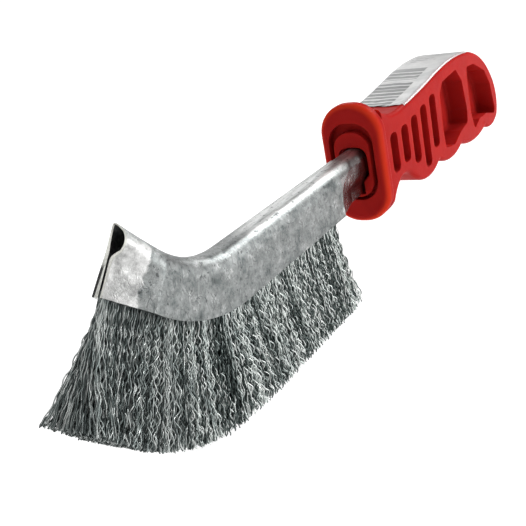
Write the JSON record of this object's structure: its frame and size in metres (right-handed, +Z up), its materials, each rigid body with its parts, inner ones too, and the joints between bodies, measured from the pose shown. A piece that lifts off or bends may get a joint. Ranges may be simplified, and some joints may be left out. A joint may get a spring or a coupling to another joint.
{
  "type": "wire brush",
  "caption": "Hand wire brush: an upturned folded steel holder filled with crimped steel wire, in a moulded plastic handle with guard, finger grooves and side pockets.",
  "frame": {"origin": "bottom centre of the brush's bounding box, on the plane of the lowest wire tips", "axes": "+X from the nose towards the handle, +Z up with the wires pointing down, +Y to the left of a hand that holds the brush"},
  "size_m": [0.2312, 0.0186, 0.0542],
  "materials": {
    "galvanised_steel": "galvanised sheet, dull grey with faint streaks across the strip and a bright folded edge",
    "core_steel": "drawn steel wire",
    "crimped_wire": "bright crimped steel wire, oily grey in the depth of the fill",
    "red_plastic": "glossy moulded polypropylene, slightly translucent orange at its thin edges",
    "label_film": "white satin film printed with plain grey bars"
  },
  "bodies": {
    "root": {"holder_channel": "galvanised_steel", "core_wire": "core_steel", "wire_fill": "crimped_wire", "handle": "red_plastic", "label": "label_film"}
  },
  "joints": []
}
